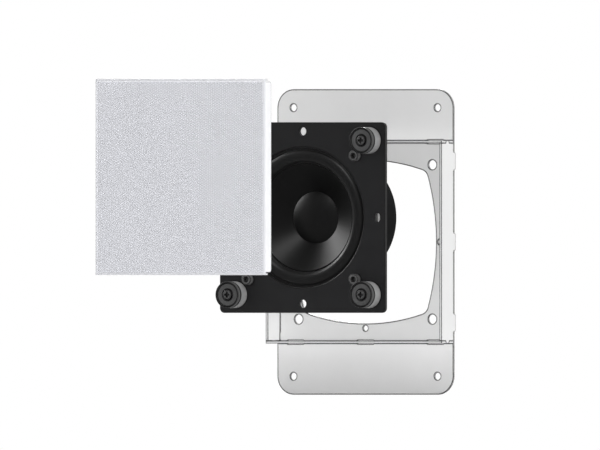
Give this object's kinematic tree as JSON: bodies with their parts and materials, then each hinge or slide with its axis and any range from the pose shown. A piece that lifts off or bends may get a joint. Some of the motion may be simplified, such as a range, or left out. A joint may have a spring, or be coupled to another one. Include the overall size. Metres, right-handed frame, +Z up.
{
  "type": "in-wall loudspeaker",
  "caption": "Square in-wall loudspeaker shown apart: perforated folded grille, driver on a baffle plate with grille magnets, and a rough-in bracket with a collar.",
  "frame": {"origin": "centre of the four bracket screws, on the back face of the bracket plate", "axes": "-Y to the front, the way the loudspeaker plays; +Z up; +X to the right seen from the front"},
  "size_m": [0.13, 0.2406, 0.2021],
  "materials": {
    "grille_paint": "white satin powder coat on perforated steel",
    "cloth": "thin white acoustic cloth",
    "black_paint": "fine black powder coat",
    "foam": "black foam",
    "basket_paint": "black coated pressed steel",
    "rubber": "satin black rubber",
    "cone": "satin black moulded cone",
    "dust_cap": "satin black moulded dome",
    "former": "bare thin tube",
    "coil_wire": "enamelled copper winding",
    "spider_cloth": "resin treated woven cloth",
    "plated_steel": "black passivated steel",
    "ferrite": "dark ground ferrite",
    "board": "brown laminate",
    "tag": "tinned brass",
    "spacer": "satin turned metal",
    "cup": "dark plated steel",
    "dark_screw": "dark zinc plated steel",
    "screw": "zinc plated steel",
    "bracket_paint": "light grey satin coat"
  },
  "bodies": {
    "root": {"grille": "grille_paint", "grille_cloth": "cloth", "baffle_plate": "black_paint", "driver_gasket": "foam", "basket": "basket_paint", "surround": "rubber", "spider": "spider_cloth", "top_plate": "plated_steel", "magnet_ring": "ferrite", "back_plate": "plated_steel", "terminal_board": "board", "terminal_tag_upper": "tag", "terminal_tag_lower": "tag", "bracket_plate": "bracket_paint", "collar_left": "bracket_paint", "collar_right": "bracket_paint", "collar_top": "bracket_paint", "collar_bottom": "bracket_paint", "spacer_1": "spacer", "spacer_2": "spacer", "spacer_3": "spacer", "spacer_4": "spacer", "magnet_cup_1": "cup", "magnet_cup_2": "cup", "magnet_cup_3": "cup", "magnet_cup_4": "cup", "cup_magnet_1": "ferrite", "cup_magnet_2": "ferrite", "cup_magnet_3": "ferrite", "cup_magnet_4": "ferrite", "magnet_screw_1": "dark_screw", "magnet_screw_2": "dark_screw", "magnet_screw_3": "dark_screw", "magnet_screw_4": "dark_screw", "clinch_nut_1": "screw", "clinch_nut_2": "screw", "clinch_nut_3": "screw", "clinch_nut_4": "screw", "driver_screw_1": "dark_screw", "driver_screw_2": "dark_screw", "driver_screw_3": "dark_screw", "driver_screw_4": "dark_screw", "driver_nut_1": "screw", "driver_nut_2": "screw", "driver_nut_3": "screw", "driver_nut_4": "screw"},
    "cone_assembly": {"cone": "cone", "dust_cap": "dust_cap", "coil_former": "former", "voice_coil": "coil_wire"}
  },
  "joints": [
    {"name": "cone_travel", "type": "slide", "parent": "root", "child": "cone_assembly", "axis": [0, 1, 0], "range_m": [-0.003, 0.003], "stiffness_N_per_m": 1200, "deforming": ["surround", "spider"]}
  ]
}
